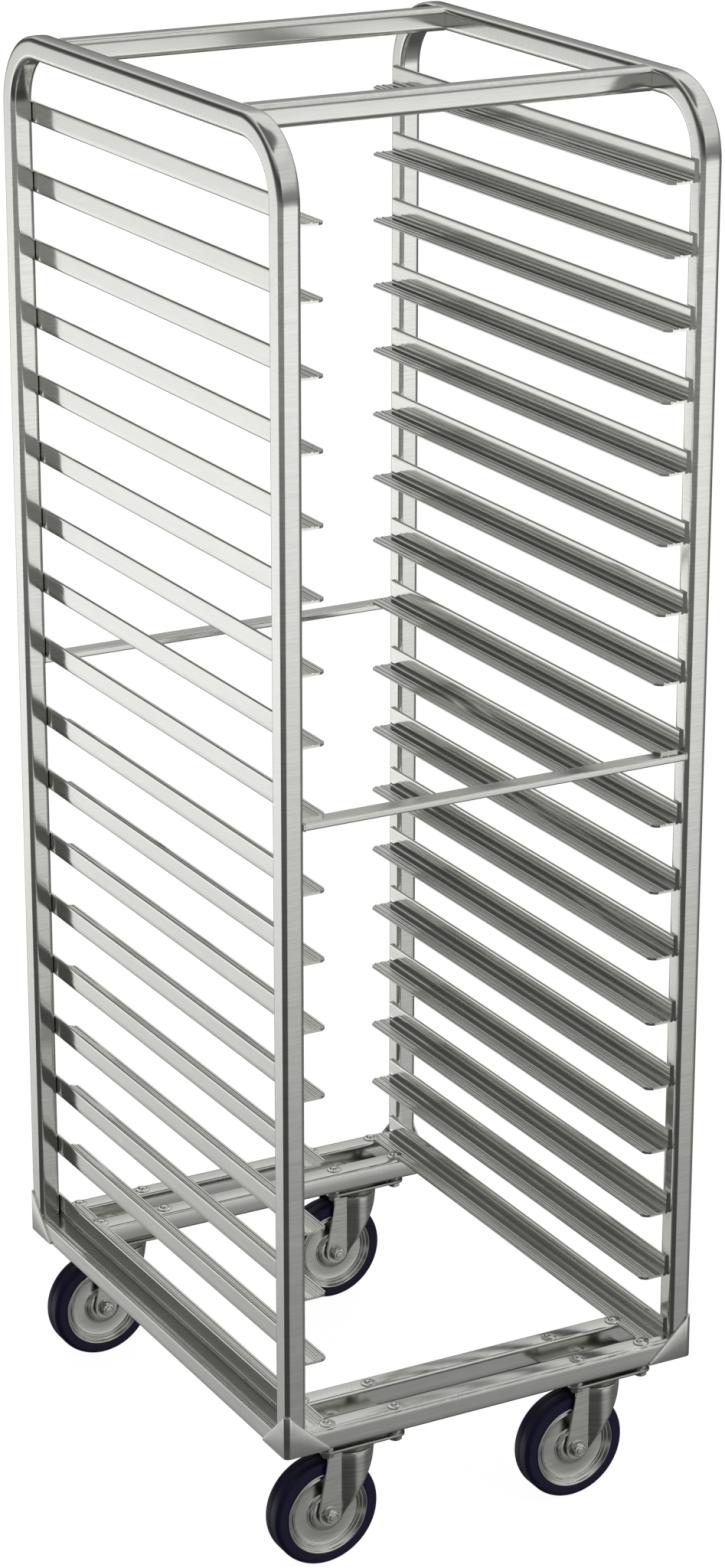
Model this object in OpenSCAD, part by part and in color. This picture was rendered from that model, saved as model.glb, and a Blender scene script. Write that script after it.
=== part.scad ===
// Mobile sheet pan rack: two bent square-tube side frames, ribbed angle
// slides in pairs, a base of grooved tubes and four swivel casters.
// Millimetres. Width runs along X, depth along Y with the front at -Y, and
// the floor is Z = 0 under the middle of the rack.

/* [Frame] */
// Width across the outer faces of the posts
frame_w = 508.2; // [460:0.2:600]
// Depth across the outer faces of the posts
frame_d = 651; // [600:1:760]
// Side of the square tube
tube = 25.4; // [25.4:0.1:28]
// Wall of the square tube
tube_wall = 1.7; // [1.2:0.1:2.5]
// Radius on the tube's long edges
tube_corner = 4.6; // [2:0.1:6]
// Outside radius of the two top bends
bend_r = 82; // [60:1:110]
// Distance of a top crossbar's centreline from the middle
top_bar_y = 213.8; // [150:0.1:225]

/* [Slides] */
// Vertical distance from one slide to the next
pitch = 76.2; // [60:0.1:90]
// Slides a side in the lower bank, below the middle crossbars
lower_levels = 9; // [2:1:10]
// Slides a side in the upper bank
upper_levels = 9; // [1:1:10]
// Extra step between the two banks, for the middle crossbars
bank_step = 6.3; // [0:0.1:12]
// Underside of the lowest slide's flange
first_z = 180; // [180:0.1:200]
// How far a flange reaches in from the post
flange_w = 31.9; // [31.9:0.1:40]
// Height of a slide's upright leg
leg_h = 24.3; // [15:0.1:40]
// Thickness of the upright leg
leg_t = 2.8; // [2:0.1:3]
// Gap between a slide's end and the post's outer face
slide_inset = 10.9; // [4:0.1:20]
// Radius at a flange's free corners
flange_corner = 10.5; // [2:0.5:14]

/* [Base] */
// Underside of the base
base_z = 156.5; // [152:0.5:170]
// Width over the pair of base tubes at either end
pair_w = 86.6; // [84:0.2:100]
// Gap between the two tubes of a pair
pair_gap = 36.3; // [30:0.1:38]
// Wall of the base tubes and rails
base_wall = 2.5; // [2:0.1:3]
// Length of a corner gusset's leg along the base
gusset_l = 52; // [30:1:70]
// Height of a corner gusset
gusset_h = 49.5; // [30:0.5:80]
// Plate thickness of a corner gusset
gusset_t = 1.9; // [1.2:0.1:2.5]

/* [Casters] */
// Swivel axis from the middle, across the rack
caster_x = 156.4; // [140:0.1:165]
// Swivel axis from the middle, along the depth
caster_y = 283.2; // [270:0.1:290]
// Wheel diameter
wheel_d = 125; // [120:1:127]
// Tread width
tread_w = 30; // [24:0.5:31]
// Distance from the swivel axis to the axle
trail = 33.2; // [28:0.1:38]
// Bolt spacing across the rack
bolt_dx = 83.4; // [78:0.1:88]
// Bolt spacing along the depth
bolt_dy = 60; // [56:0.1:62]

/* [Hidden] */
$fn = 96;
eps = 0.01;
xo = frame_w/2;              // outer face of a post, from the middle
xi = xo - tube;              // inner face of a post
yo = frame_d/2;
yi = yo - tube;
mid_z = first_z + lower_levels*pitch + bank_step;     // underside of the first slide of the upper bank
last_z = mid_z + (upper_levels - 1)*pitch;
top_z = last_z + 104.1;      // top of the frame
bend_z = top_z - bend_r;
bend_y = yo - bend_r;
bend_c = bend_r - tube/2;    // centreline radius
mid_bar_h = 7.5;
mid_bar_d = 20.3;
base_h = first_z - base_z;
tip_x = xi - flange_w;
wr = wheel_d/2;
plate_b = 147;               // underside of a caster's top plate
plate_t = 3.5;
crown_b = 131.3;             // underside of a fork's crown
crown_t = 3.7;
cheek_y = 20.5;              // outer face of a fork's cheek, from the wheel's middle
cheek_t = 3;
fork_r = 28;                 // curved back of the fork, about the swivel axis
pin_r = 6;
axle_r = 5;
run = 0.05;                  // radial running clearance
alu = [0.74, 0.74, 0.72];
steel = [0.66, 0.66, 0.64];
zinc = [0.78, 0.78, 0.78];
navy = [0.06, 0.05, 0.16];

// Points of an arc about (cx, cy), from angle a0 to a1 in n steps
function arc(cx, cy, r, a0, a1, n = 5) =
  [for (i = [0:n]) [cx + r*cos(a0 + (a1 - a0)*i/n), cy + r*sin(a0 + (a1 - a0)*i/n)]];

// Rectangle w by h about the origin, with rounded corners
function rounded(w, h, r, n = 5) = concat(
  arc(w/2 - r, h/2 - r, r, 0, 90, n), arc(-w/2 + r, h/2 - r, r, 90, 180, n),
  arc(-w/2 + r, -h/2 + r, r, 180, 270, n), arc(w/2 - r, -h/2 + r, r, 270, 360, n));

module tube_section() {
  difference() {
    polygon(rounded(tube, tube, tube_corner));
    polygon(rounded(tube - 2*tube_wall, tube - 2*tube_wall, tube_corner - tube_wall));
  }
}

// ---- Side frames: two posts, two bends and the top run, one bent tube ----
module side_frame(s) {
  xc = s*(xo - tube/2);
  for (t = [-1, 1]) {
    translate([xc, t*(yo - tube/2), base_z]) linear_extrude(bend_z - base_z) tube_section();
    mirror([0, t < 0 ? 1 : 0, 0])
      translate([xc, bend_y, bend_z]) rotate([90, 0, 90])
        rotate_extrude(angle = 90) translate([bend_c, 0]) tube_section();
  }
  translate([xc, bend_y, top_z - tube/2]) rotate([90, 0, 0]) linear_extrude(2*bend_y) tube_section();
}

// ---- Crossbars ----
module top_crossbar(t) {
  translate([-xi, t*top_bar_y, top_z - tube/2]) rotate([90, 0, 90]) linear_extrude(2*xi) tube_section();
}
module mid_crossbar(t) {
  translate([-xi, t*(yo - mid_bar_d/2), mid_z - mid_bar_h/2])
    rotate([90, 0, 90]) linear_extrude(2*xi) polygon(rounded(mid_bar_d, mid_bar_h, 1.2, 3));
}

// ---- Slides: an angle whose flange has rounded ribs that carry the pan ----
// Outline in X (from the post's inner face towards the middle) and Z
module slide_section() {
  polygon(concat(
    arc(2.4, 2.4, 2.4, 180, 270, 3), arc(flange_w - 1.6, 1.6, 1.6, -90, 90, 6),
    [[28.9, 2.1], [28.2, 2.6], [27.3, 2.6], [26.6, 2.1],
     [25.2, 2.1], [24.6, 3.1], [24.3, 3.4], [23.7, 3.4], [23.3, 3.1], [22.7, 2.1],
     [20.9, 2.1], [20.3, 2.6], [19.6, 2.6], [19, 2.1],
     [16.5, 2.1], [15.9, 3.1], [15.5, 3.4], [14.9, 3.4], [14.5, 3.1], [14, 2.2], [13.2, 2.2], [12.9, 2.6],
     [6.3, 2.6], [6, 3], [5.3, 3]],
    arc(leg_t + 2.2, 4.9, 2.2, 270, 180, 4),
    arc(leg_t/2, leg_h - leg_t/2, leg_t/2, 0, 180, 6)));
}
// Cuts the flange's free corner at the origin to a radius; the flange lies towards -x, -y
module corner_cut(r) {
  translate([0, 0, -1]) linear_extrude(8)
    polygon(concat(arc(-r + 0.1, -r + 0.1, r, -5, 95, 7), [[-r - 3, 5], [5, 5], [5, -r - 3]]));
}
module slide(s, z, notched = false) {
  half = yo - slide_inset;
  translate([0, 0, z]) mirror([s > 0 ? 0 : 1, 0, 0]) difference() {
    translate([xi, half, 0]) rotate([90, 0, 0]) mirror([1, 0, 0]) linear_extrude(2*half) slide_section();
    translate([tip_x, half, 0]) rotate([0, 0, 90]) corner_cut(flange_corner);
    translate([tip_x, -half, 0]) rotate([0, 0, 180]) corner_cut(flange_corner);
    if (notched) for (t = [-1, 1]) for (u = [-1, 1])
      translate([caster_x + bolt_dx/2, t*(caster_y + u*bolt_dy/2), -1]) cylinder(r = 9.6, h = 6);
  }
}
module slides_upper(s) { for (i = [0:upper_levels - 1]) slide(s, mid_z + i*pitch); }
module slides_lower(s) { for (i = [1:lower_levels - 1]) slide(s, first_z + i*pitch); }

// ---- Base: a pair of tubes front and rear with an open gap between them, and two rails ----
// Outline of a base tube w wide, from its outer wall inwards. The outer top edge may carry a groove.
module base_section(w, grooved) {
  h = base_h; t = base_wall;
  difference() {
    polygon(concat(
      arc(2, 2, 2, 180, 270, 3), arc(w - 2, 2, 2, 270, 360, 3), arc(w - 3, h - 3, 3, 0, 90, 4),
      grooved ? concat([[5.6, h], [5.2, h - 0.5], [4, h - 0.5], [3.4, h - 1.4], [2.2, h - 1.6]],
                       arc(1.2, h - 2.8, 1.2, 90, 180, 3))
              : arc(3, h - 3, 3, 90, 180, 4)));
    translate([t, t]) square([w - 2*t, h - 2*t]);
  }
}
module bolt_axes() {
  for (sx = [-1, 1]) for (sy = [-1, 1]) for (u = [-1, 1]) for (v = [-1, 1])
    translate([sx*caster_x + u*bolt_dx/2, sy*caster_y + v*bolt_dy/2, 0]) children();
}
module base_tubes(t) {
  a = (pair_w - pair_gap)/2 + 0.35;   // outer tube
  b = pair_w - a - pair_gap;          // inner tube
  difference() {
    mirror([0, t > 0 ? 1 : 0, 0]) translate([-xi, -yo, base_z]) rotate([90, 0, 90]) {
      linear_extrude(2*xi) base_section(a, true);
      translate([a + pair_gap, 0, 0]) linear_extrude(2*xi) base_section(b, false);
    }
    bolt_axes() translate([0, 0, base_z - 5]) cylinder(r = 4.3, h = base_h + 10);
  }
}
module base_rail(s) {
  mirror([s > 0 ? 0 : 1, 0, 0]) translate([xo, yi, base_z]) rotate([90, 0, 0]) mirror([1, 0, 0])
    linear_extrude(2*yi) base_section(tube, true);
}

// ---- Corner gussets: a plate folded round the foot of each post ----
module gusset(sx, sy) {
  mirror([sx > 0 ? 0 : 1, 0, 0]) mirror([0, sy > 0 ? 0 : 1, 0])
    intersection() {
      union() {
        translate([xo - tube_corner, yo - tube_corner, base_z - 0.3]) rotate_extrude(angle = 90)
          translate([tube_corner, 0]) square([gusset_t, gusset_h]);
        translate([xo - gusset_l, yo, base_z - 0.3]) cube([gusset_l - tube_corner, gusset_t, gusset_h]);
        translate([xo, yo - gusset_l, base_z - 0.3]) cube([gusset_t, gusset_l - tube_corner, gusset_h]);
      }
      // both slanting edges: the height falls away from the fold along each wall
      translate([xo, yo, base_z - 0.3]) rotate([90, 0, 0]) linear_extrude(2*gusset_l + 20, center = true)
        polygon([[8, 0], [8, gusset_h], [-4, gusset_h], [-gusset_l, 3], [-gusset_l, 0]]);
      translate([xo, yo, base_z - 0.3]) rotate([90, 0, 90]) linear_extrude(2*gusset_l + 20, center = true)
        polygon([[8, 0], [8, gusset_h], [-4, gusset_h], [-gusset_l, 3], [-gusset_l, 0]]);
    }
}

// ---- Caster fasteners ----
module caster_bolts() {
  bolt_axes() {
    translate([0, 0, first_z]) intersection() {
      cylinder(r = 8.9, h = 4.2);
      translate([0, 0, 4.2 - 14]) sphere(r = 14);
    }
    translate([0, 0, 139.6]) cylinder(r = 4, h = first_z - 139.6 + 1);
  }
}
module caster_nuts() {
  bolt_axes() translate([0, 0, plate_b - 6.2]) difference() {
    union() {
      cylinder(r = 7.5, h = 5.2, $fn = 6);
      translate([0, 0, 5]) cylinder(r = 8.2, h = 1.2);
    }
    translate([0, 0, -1]) cylinder(r = 4, h = 10);
  }
}
module caster_spacers() {
  bolt_axes() translate([0, 0, plate_b + plate_t]) difference() {
    cylinder(r = 7.5, h = base_z - plate_b - plate_t);
    translate([0, 0, -1]) cylinder(r = 4.3, h = 12);
  }
}

// ---- Casters, each about its own swivel axis, trailing towards -X ----
module at_caster(sx, sy) { translate([sx*caster_x, sy*caster_y, 0]) children(); }
module at_axle(sx, sy) { at_caster(sx, sy) translate([-trail, 0, wr]) rotate([90, 0, 0]) children(); }

module top_plate(sx, sy) {
  color(zinc) at_caster(sx, sy) difference() {
    union() {
      translate([0, 0, plate_b]) linear_extrude(plate_t) polygon(rounded(104, 80, 10, 6));
      // pressed cup that covers the ball race
      rotate_extrude() polygon([[21.5, plate_b + 1], [21.5, 141.2], [26.8, 141.2], [27.2, 140.8], [27.2, 136.2],
        [28.6, 136.2], [29.2, 136.8], [29.2, 145], [30.2, 146.6], [31.5, plate_b], [31.5, plate_b + 1]]);
    }
    translate([0, 0, plate_b - 1]) cylinder(r = pin_r, h = plate_t + 2);
    for (u = [-1, 1]) for (v = [-1, 1])
      translate([u*bolt_dx/2, v*bolt_dy/2, plate_b - 1]) cylinder(r = 4.4, h = plate_t + 2);
  }
}
module kingpin(sx, sy) {
  color(zinc) at_caster(sx, sy) {
    translate([0, 0, 129]) cylinder(r = pin_r, h = 22);
    translate([0, 0, 150.5]) intersection() {
      cylinder(r = 9, h = 2.6);
      translate([0, 0, 2.6 - 18]) sphere(r = 18);
    }
    translate([0, 0, crown_b - 4.4]) cylinder(r = 10.5, h = 4);
  }
}
module swivel_balls(sx, sy) {
  color(steel) at_caster(sx, sy) for (i = [0:17]) rotate([0, 0, i*20])
    translate([23.9, 0, crown_b + crown_t + 2.9]) sphere(r = 2.8, $fn = 32);
}
// One cheek, as an outline in X and Z with the swivel axis at x = 0
module cheek_outline() {
  polygon(concat(
    [[-18.3, crown_b + crown_t - 1.2], [-19.5, crown_b + crown_t], [-34, crown_b + crown_t], [-35.2, crown_b + crown_t - 1.2]],
    [[-35.2, 130.5], [-trail - 13.2, wr + 3.4]],
    arc(-trail + 0.7, wr, 14, 166, 360, 14),
    [[-18.3, wr + 3]]));
}
module fork(sx, sy) {
  color(steel) at_caster(sx, sy) difference() {
    union() {
      // crown: a disc over the wheel, run forward to the two cheeks
      translate([0, 0, crown_b]) cylinder(r = fork_r, h = crown_t);
      translate([-34, -cheek_y + 1, crown_b]) cube([34, 2*cheek_y - 2, crown_t]);
      translate([0, 0, crown_b + crown_t - 1]) cylinder(r = 20.8, h = 6.2);
      // curved back, cut away to clear the wheel
      intersection() {
        difference() {
          translate([0, 0, 50]) cylinder(r = fork_r, h = crown_b - 50 + 1);
          translate([0, 0, 49]) cylinder(r = fork_r - 2.8, h = crown_b - 49);
        }
        rotate([90, 0, 0]) linear_extrude(80, center = true)
          polygon([[-18.6, 59], [-17.8, 59.3], [-13.3, 69.1], [-4.5, 81.6], [1.9, 91.3], [10.6, 105.4], [17.8, 118], [22.6, 133], [-18.6, 133]]);
      }
      for (t = [-1, 1]) translate([0, t*(cheek_y - cheek_t/2), 0]) rotate([90, 0, 0])
        linear_extrude(cheek_t, center = true) cheek_outline();
    }
    translate([0, 0, crown_b - 1]) cylinder(r = pin_r + run, h = 12);
    translate([-trail, 0, wr]) rotate([90, 0, 0]) cylinder(r = axle_r + run, h = 60, center = true);
  }
}
module axle_bolt(sx, sy) {
  color(zinc) at_axle(sx, sy) {
    translate([0, 0, -cheek_y - 1]) cylinder(r = axle_r, h = 2*cheek_y + 1 + 9);
    translate([0, 0, -cheek_y - 6.4]) cylinder(r = 8.6, h = 6.4, $fn = 6);
  }
}
module axle_nut(sx, sy) {
  color(zinc) at_axle(sx, sy) {
    translate([0, 0, cheek_y]) difference() {
      union() {
        cylinder(r = 10, h = 1.4);
        translate([0, 0, 1]) cylinder(r = 8.8, h = 5.4, $fn = 6);
        translate([0, 0, 6]) cylinder(r = 6.8, h = 1.6);
      }
      translate([0, 0, -1]) cylinder(r = axle_r, h = 12);
    }
    // spacing washers between the hub and the cheeks
    for (t = [-1, 1]) translate([0, 0, t*16.45]) difference() {
      cylinder(r = 8.5, h = 1.9, center = true);
      cylinder(r = axle_r, h = 4, center = true);
    }
  }
}
// Half of the wheel core's outline, radius and distance from its mid-plane
function core_half() = [[13, 15.2], [18.6, 15.2], [19.4, 14.4], [19.8, 12.4], [21.6, 12.2], [22.4, 11.4], [22.8, 10.4],
  [38.8, 10.4], [39.4, 11.4], [40.2, 11.9], [41.2, 11.6], [41.8, 10.9], [42.6, 11.6], [43.2, 12.9], [44, 13.1],
  [44.8, 12.8], [46.6, 15.4], [47.2, 16], [48, 16], [48.4, 15.6]];
module wheel_core(sx, sy) {
  h = core_half(); n = len(h);
  color(steel) at_axle(sx, sy) rotate_extrude() polygon(concat(h,
    [for (i = [0:n - 1]) [h[n - 1 - i][0], -h[n - 1 - i][1]]]));
}
module wheel_bearings(sx, sy) {
  color(zinc) at_axle(sx, sy) for (t = [-1, 1]) translate([0, 0, t*10.6]) difference() {
    cylinder(r = 13, h = 9, center = true);
    cylinder(r = axle_r + run, h = 12, center = true);
  }
}
module wheel_tread(sx, sy) {
  w = tread_w/2; r = 5.7;
  color(navy) at_axle(sx, sy) rotate_extrude() polygon(concat(
    [[48.4, -w + 0.6], [49, -w]], arc(wr - r, -w + r, r, 270, 360, 8), arc(wr - r, w - r, r, 0, 90, 8), [[49, w], [48.4, w - 0.6]]));
}

color(alu) side_frame(-1);  // side_frame_left
color(alu) side_frame(1);  // side_frame_right
color(alu) top_crossbar(-1);  // top_crossbar_front
color(alu) top_crossbar(1);  // top_crossbar_rear
color(alu) mid_crossbar(-1);  // mid_crossbar_front
color(alu) mid_crossbar(1);  // mid_crossbar_rear
color(alu) slides_upper(-1);  // slides_left_upper
color(alu) slides_upper(1);  // slides_right_upper
color(alu) slides_lower(-1);  // slides_left_lower
color(alu) slides_lower(1);  // slides_right_lower
color(alu) slide(-1, first_z, true);  // bottom_slide_left
color(alu) slide(1, first_z, true);  // bottom_slide_right
color(alu) base_tubes(-1);  // base_tubes_front
color(alu) base_tubes(1);  // base_tubes_rear
color(alu) base_rail(-1);  // base_rail_left
color(alu) base_rail(1);  // base_rail_right
color(alu) gusset(-1, -1);  // gusset_front_left
color(alu) gusset(1, -1);  // gusset_front_right
color(alu) gusset(-1, 1);  // gusset_rear_left
color(alu) gusset(1, 1);  // gusset_rear_right
color(zinc) caster_bolts();
color(zinc) caster_nuts();
color(zinc) caster_spacers();
top_plate(-1, -1);  // top_plate_front_left
top_plate(1, -1);  // top_plate_front_right
top_plate(-1, 1);  // top_plate_rear_left
top_plate(1, 1);  // top_plate_rear_right
kingpin(-1, -1);  // kingpin_front_left
kingpin(1, -1);  // kingpin_front_right
kingpin(-1, 1);  // kingpin_rear_left
kingpin(1, 1);  // kingpin_rear_right
swivel_balls(-1, -1);  // swivel_balls_front_left
swivel_balls(1, -1);  // swivel_balls_front_right
swivel_balls(-1, 1);  // swivel_balls_rear_left
swivel_balls(1, 1);  // swivel_balls_rear_right
fork(-1, -1);  // fork_front_left
fork(1, -1);  // fork_front_right
fork(-1, 1);  // fork_rear_left
fork(1, 1);  // fork_rear_right
axle_bolt(-1, -1);  // axle_bolt_front_left
axle_bolt(1, -1);  // axle_bolt_front_right
axle_bolt(-1, 1);  // axle_bolt_rear_left
axle_bolt(1, 1);  // axle_bolt_rear_right
axle_nut(-1, -1);  // axle_nut_front_left
axle_nut(1, -1);  // axle_nut_front_right
axle_nut(-1, 1);  // axle_nut_rear_left
axle_nut(1, 1);  // axle_nut_rear_right
wheel_core(-1, -1);  // wheel_core_front_left
wheel_core(1, -1);  // wheel_core_front_right
wheel_core(-1, 1);  // wheel_core_rear_left
wheel_core(1, 1);  // wheel_core_rear_right
wheel_bearings(-1, -1);  // wheel_bearings_front_left
wheel_bearings(1, -1);  // wheel_bearings_front_right
wheel_bearings(-1, 1);  // wheel_bearings_rear_left
wheel_bearings(1, 1);  // wheel_bearings_rear_right
wheel_tread(-1, -1);  // wheel_tread_front_left
wheel_tread(1, -1);  // wheel_tread_front_right
wheel_tread(-1, 1);  // wheel_tread_rear_left
wheel_tread(1, 1);  // wheel_tread_rear_right
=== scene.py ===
"""Looks of the sheet pan rack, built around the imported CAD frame. Metres, front at -Y."""
import math
import random

import bmesh
import bpy
from mathutils import Matrix, Vector

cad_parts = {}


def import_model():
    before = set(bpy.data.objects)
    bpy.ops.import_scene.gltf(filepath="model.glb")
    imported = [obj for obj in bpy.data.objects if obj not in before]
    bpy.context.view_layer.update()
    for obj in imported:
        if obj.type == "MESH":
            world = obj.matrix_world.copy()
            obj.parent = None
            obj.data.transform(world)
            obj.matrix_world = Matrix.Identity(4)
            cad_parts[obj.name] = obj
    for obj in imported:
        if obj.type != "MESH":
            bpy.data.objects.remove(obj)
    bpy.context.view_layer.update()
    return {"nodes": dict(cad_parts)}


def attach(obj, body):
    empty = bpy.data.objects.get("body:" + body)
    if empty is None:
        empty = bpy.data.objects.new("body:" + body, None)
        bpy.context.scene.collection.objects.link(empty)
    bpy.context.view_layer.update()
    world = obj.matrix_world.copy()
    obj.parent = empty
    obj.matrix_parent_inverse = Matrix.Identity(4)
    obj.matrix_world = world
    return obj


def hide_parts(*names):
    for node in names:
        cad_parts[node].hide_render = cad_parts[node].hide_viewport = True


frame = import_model()
MM = 0.001
rnd = random.Random(7)

# ---------------------------------------------------------------- measures, in mm
XO, TUBE, WALL, CORNER = 254.1, 25.4, 1.7, 4.6
XI = XO - TUBE
YO = 325.5
YI = YO - TUBE
PITCH, FIRST_Z = 76.2, 180.0
MID_Z = FIRST_Z + 9 * PITCH + 6.3
LAST_Z = MID_Z + 8 * PITCH
TOP_Z = LAST_Z + 104.1
BEND_R = 82.0
BEND_Z = TOP_Z - BEND_R
BEND_Y = YO - BEND_R
BEND_C = BEND_R - TUBE / 2
BASE_Z = 156.5
BASE_H = FIRST_Z - BASE_Z
FLANGE, LEG_H, LEG_T, INSET, F_CORNER = 31.9, 24.3, 2.8, 10.9, 10.5
CX, CY, WR, TRAIL = 156.4, 283.2, 62.5, 33.2
BDX, BDY = 41.7, 30.0
CORNERS = {"front_left": (-1, -1), "front_right": (1, -1), "rear_left": (-1, 1), "rear_right": (1, 1)}


def rad(a):
    return a * math.pi / 180


def arc(cx, cy, r, a0, a1, n):
    return [(cx + r * math.cos(rad(a0 + (a1 - a0) * i / n)), cy + r * math.sin(rad(a0 + (a1 - a0) * i / n)))
            for i in range(n + 1)]


def smooth01(t):
    t = max(0.0, min(1.0, t))
    return t * t * (3 - 2 * t)


# ---------------------------------------------------------------- materials
def nodes_of(mat):
    mat.use_nodes = True
    nt = mat.node_tree
    nt.nodes.clear()
    out = nt.nodes.new("ShaderNodeOutputMaterial")
    bsdf = nt.nodes.new("ShaderNodeBsdfPrincipled")
    nt.links.new(bsdf.outputs[0], out.inputs[0])
    return nt, bsdf


def math_node(nt, op, a, b=None, c=None, clamp=False):
    n = nt.nodes.new("ShaderNodeMath")
    n.operation = op
    n.use_clamp = clamp
    for i, v in enumerate((a, b, c)):
        if v is None:
            continue
        if isinstance(v, (int, float)):
            n.inputs[i].default_value = v
        else:
            nt.links.new(v, n.inputs[i])
    return n.outputs[0]


def noise(nt, vec, scale, mapping=(1, 1, 1), rot=(0, 0, 0), detail=3.0, rough=0.55, loc=(0, 0, 0)):
    m = nt.nodes.new("ShaderNodeMapping")
    m.inputs["Scale"].default_value = mapping
    m.inputs["Rotation"].default_value = rot
    m.inputs["Location"].default_value = loc
    nt.links.new(vec, m.inputs["Vector"])
    n = nt.nodes.new("ShaderNodeTexNoise")
    n.inputs["Scale"].default_value = scale
    n.inputs["Detail"].default_value = detail
    n.inputs["Roughness"].default_value = rough
    nt.links.new(m.outputs[0], n.inputs["Vector"])
    return n.outputs["Fac"]


def ramp01(nt, v, lo, hi):
    n = nt.nodes.new("ShaderNodeMapRange")
    n.interpolation_type = "SMOOTHSTEP"
    n.inputs["From Min"].default_value = lo
    n.inputs["From Max"].default_value = hi
    nt.links.new(v, n.inputs["Value"])
    return n.outputs["Result"]


def scale_color(nt, color, fac):
    """color times a factor that comes from the nodes"""
    n = nt.nodes.new("ShaderNodeVectorMath")
    n.operation = "SCALE"
    n.inputs[0].default_value = color
    nt.links.new(fac, n.inputs["Scale"])
    return n.outputs[0]


def metal(name, color, rough, grain, fine=0.10, band=0.05, cloud=0.05, bump=0.35, depth=0.00002,
          scratch=0.10, wave=0.00012, aniso=0.0, fine_scale=900.0, along=30.0):
    """Brushed metal. grain: 'x', 'y' or 'z' is the direction of the brush lines in the part's own
    coordinates; 'ring' lines run round a level, whatever the heading; 'uv' uses the brush map."""
    mat = bpy.data.materials.new(name)
    nt, bsdf = nodes_of(mat)
    if grain == "uv":
        tc = nt.nodes.new("ShaderNodeUVMap")
        tc.uv_map = "brush"
        vec = tc.outputs[0]
        lines = (1.0, along / fine_scale, 1.0)      # u: along the tube, v: round it
    else:
        tc = nt.nodes.new("ShaderNodeTexCoord")
        vec = tc.outputs["Object"]
        f = along / fine_scale
        lines = {"x": (f, 1, 1), "y": (1, f, 1), "z": (1, 1, f), "ring": (f, f, 1)}[grain]
    obj = nt.nodes.new("ShaderNodeTexCoord").outputs["Object"]
    g1 = noise(nt, vec, fine_scale, lines, detail=2.5, rough=0.6)
    wide = tuple(1.0 if v == 1 or v == 1.0 else v * 0.55 for v in lines)
    g2 = noise(nt, vec, fine_scale * 0.16, wide, detail=2.0, rough=0.5, loc=(3.1, 1.7, 5.3))
    cl = noise(nt, obj, 14.0, detail=3.0, rough=0.6)
    # short stray scratches, across and slanting
    s1 = noise(nt, vec, 620.0, (1.0, 0.045, 0.045), rot=(0.35, 0.5, 0.62), detail=1.0, rough=0.4)
    s1 = ramp01(nt, s1, 0.735, 0.79)
    patch = ramp01(nt, noise(nt, obj, 22.0, detail=1.0, loc=(9, 2, 4)), 0.5, 0.66)
    s1 = math_node(nt, "MULTIPLY", s1, patch)
    att = nt.nodes.new("ShaderNodeAttribute")
    att.attribute_name = "wear"
    wear_spots = ramp01(nt, noise(nt, obj, 160.0, detail=4.0, rough=0.7), 0.40, 0.66)
    wear = math_node(nt, "MULTIPLY", att.outputs["Fac"], wear_spots)
    # colour
    f = math_node(nt, "MULTIPLY_ADD", math_node(nt, "SUBTRACT", g1, 0.5), fine * 2, 1.0)
    f = math_node(nt, "MULTIPLY_ADD", math_node(nt, "SUBTRACT", g2, 0.5), band * 2, f)
    f = math_node(nt, "MULTIPLY_ADD", math_node(nt, "SUBTRACT", cl, 0.5), cloud * 2, f)
    f = math_node(nt, "MULTIPLY_ADD", s1, scratch, f)
    f = math_node(nt, "MULTIPLY_ADD", wear, 0.07, f)
    nt.links.new(scale_color(nt, color, f), bsdf.inputs["Base Color"])
    # roughness
    r = math_node(nt, "MULTIPLY_ADD", math_node(nt, "SUBTRACT", g2, 0.5), 0.10, rough)
    r = math_node(nt, "MULTIPLY_ADD", math_node(nt, "SUBTRACT", cl, 0.5), 0.10, r)
    r = math_node(nt, "MULTIPLY_ADD", wear, -0.06, r, clamp=True)
    nt.links.new(r, bsdf.inputs["Roughness"])
    bsdf.inputs["Metallic"].default_value = 1.0
    if aniso:
        bsdf.inputs["Anisotropic"].default_value = aniso
    # bump: the brush lines, then the sheet's slight waviness
    b0 = nt.nodes.new("ShaderNodeBump")
    b0.inputs["Strength"].default_value = 1.0
    b0.inputs["Distance"].default_value = wave
    nt.links.new(noise(nt, obj, 30.0, detail=1.0, rough=0.4, loc=(1, 6, 2)), b0.inputs["Height"])
    b1 = nt.nodes.new("ShaderNodeBump")
    b1.inputs["Strength"].default_value = bump
    b1.inputs["Distance"].default_value = depth
    h = math_node(nt, "MULTIPLY_ADD", g2, 0.8, g1)
    h = math_node(nt, "MULTIPLY_ADD", s1, -0.5, h)
    nt.links.new(h, b1.inputs["Height"])
    nt.links.new(b0.outputs[0], b1.inputs["Normal"])
    nt.links.new(b1.outputs[0], bsdf.inputs["Normal"])
    return mat


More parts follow.
